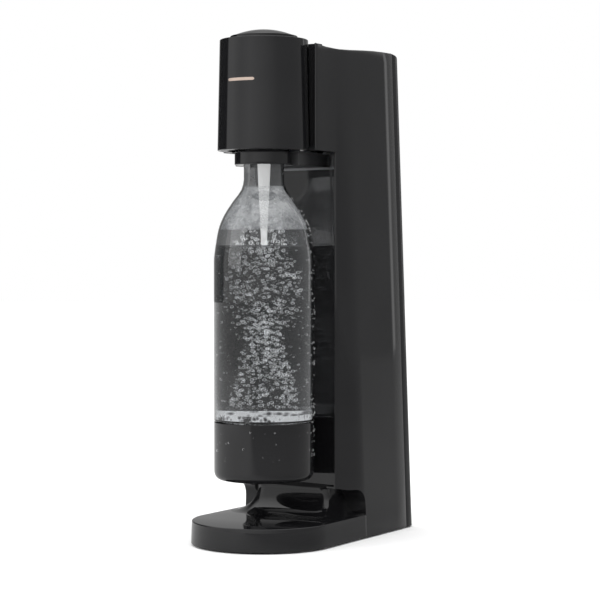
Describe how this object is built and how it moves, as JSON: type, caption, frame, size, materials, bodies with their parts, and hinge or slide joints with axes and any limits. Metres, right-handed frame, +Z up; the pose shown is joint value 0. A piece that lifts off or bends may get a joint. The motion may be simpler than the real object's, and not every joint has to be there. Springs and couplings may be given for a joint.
{
  "type": "soda carbonator",
  "caption": "Counter-top carbonator: slim tapered column with a round head, press button, tilting bottle holder with nozzle, clear bottle and a gas cylinder inside.",
  "frame": {"origin": "on the surface it stands on, under the middle of its bounding box", "axes": "+Z up, -Y towards the user, who faces the bottle, +X to the user's right"},
  "size_m": [0.12, 0.218, 0.421],
  "materials": {
    "gloss_black": "polished black ABS",
    "satin_black": "moulded black ABS, lightly textured",
    "rubber": "soft black rubber",
    "gasket": "black nitrile rubber",
    "zinc_steel": "zinc-plated steel",
    "galvanised_sheet": "galvanised pressed steel",
    "white_plastic": "white acetal",
    "cast_zinc": "cast and tumbled zinc alloy",
    "aluminium": "brushed aluminium, lacquered",
    "sleeve": "pale mint printed film",
    "brass": "turned brass",
    "hose": "milky nylon tube",
    "clear_bottle": "clear PET, wet outside"
  },
  "bodies": {
    "root": {"main_housing": "gloss_black", "front_panel": "gloss_black", "base_plate": "satin_black", "rubber_feet": "rubber", "base_screws": "zinc_steel", "head_cover": "gloss_black", "head_underside": "satin_black", "top_cover": "gloss_black", "button_bezel": "satin_black", "button_guide": "white_plastic", "button_spring": "zinc_steel", "chassis": "galvanised_sheet", "chassis_screws": "zinc_steel", "head_screws": "zinc_steel", "cylinder_cradle": "satin_black", "valve_block": "cast_zinc", "valve_block_screws": "zinc_steel", "relief_valve": "brass", "plunger_seal": "gasket", "lever_pivot_pin": "zinc_steel", "lever_clips": "zinc_steel", "yoke_pivot_pins": "zinc_steel", "gas_hose": "hose", "hose_fittings": "brass"},
    "rear_cover_body": {"rear_cover": "gloss_black"},
    "button_body": {"carbonating_button": "gloss_black"},
    "lever_body": {"actuator_lever": "galvanised_sheet", "lever_adjusting_screw": "zinc_steel"},
    "plunger_body": {"valve_plunger": "brass"},
    "washer_body": {"valve_washer": "gasket"},
    "gas_cylinder_body": {"cylinder_body": "aluminium", "cylinder_sleeve": "sleeve", "cylinder_valve": "brass"},
    "holder_body": {"tilt_yoke": "satin_black", "bottle_collar": "satin_black", "collar_screws": "zinc_steel", "nozzle_block": "satin_black", "nozzle": "white_plastic", "bottle_seal": "gasket", "vent_valve": "brass"},
    "bottle_body": {"bottle": "clear_bottle", "bottle_base_cup": "gloss_black"}
  },
  "joints": [
    {"name": "button_press", "type": "slide", "parent": "root", "child": "button_body", "axis": [0, 0, -1], "range_m": [0, 0.006], "stiffness_N_per_m": 700, "springref_m": -0.006, "deforming": ["button_spring"]},
    {"name": "lever_turn", "type": "hinge", "parent": "root", "child": "lever_body", "pos_m": [0, 0.076, 0.389], "axis": [1, 0, 0], "range_deg": [0, 3]},
    {"name": "plunger_push", "type": "slide", "parent": "root", "child": "plunger_body", "axis": [0, 0, -1], "range_m": [0, 0.0012]},
    {"name": "holder_tilt", "type": "hinge", "parent": "root", "child": "holder_body", "pos_m": [0, 0.003, 0.33], "axis": [-1, 0, 0], "range_deg": [0, 15], "deforming": ["gas_hose"]},
    {"name": "bottle_turn", "type": "hinge", "parent": "holder_body", "child": "bottle_body", "pos_m": [0, -0.049, 0.316], "axis": [0, 0, 1], "range_deg": [0, 360]},
    {"name": "cylinder_turn", "type": "hinge", "parent": "washer_body", "child": "gas_cylinder_body", "pos_m": [0, 0.054, 0.35], "axis": [0, 0, 1], "range_deg": [-1080, 0]},
    {"name": "cylinder_drop", "type": "slide", "parent": "root", "child": "washer_body", "axis": [0, 0, 1], "range_m": [-0.0055, 0]},
    {"name": "rear_cover_pull", "type": "slide", "parent": "root", "child": "rear_cover_body", "axis": [0, 1, 0], "range_m": [0, 0.1]}
  ],
  "couplings": [
    {"joint": "lever_turn", "follows": "button_press", "rad_per_m": 8},
    {"joint": "plunger_push", "follows": "button_press", "ratio": 0.176},
    {"joint": "cylinder_drop", "follows": "cylinder_turn", "m_per_rad": 0.00028648}
  ]
}
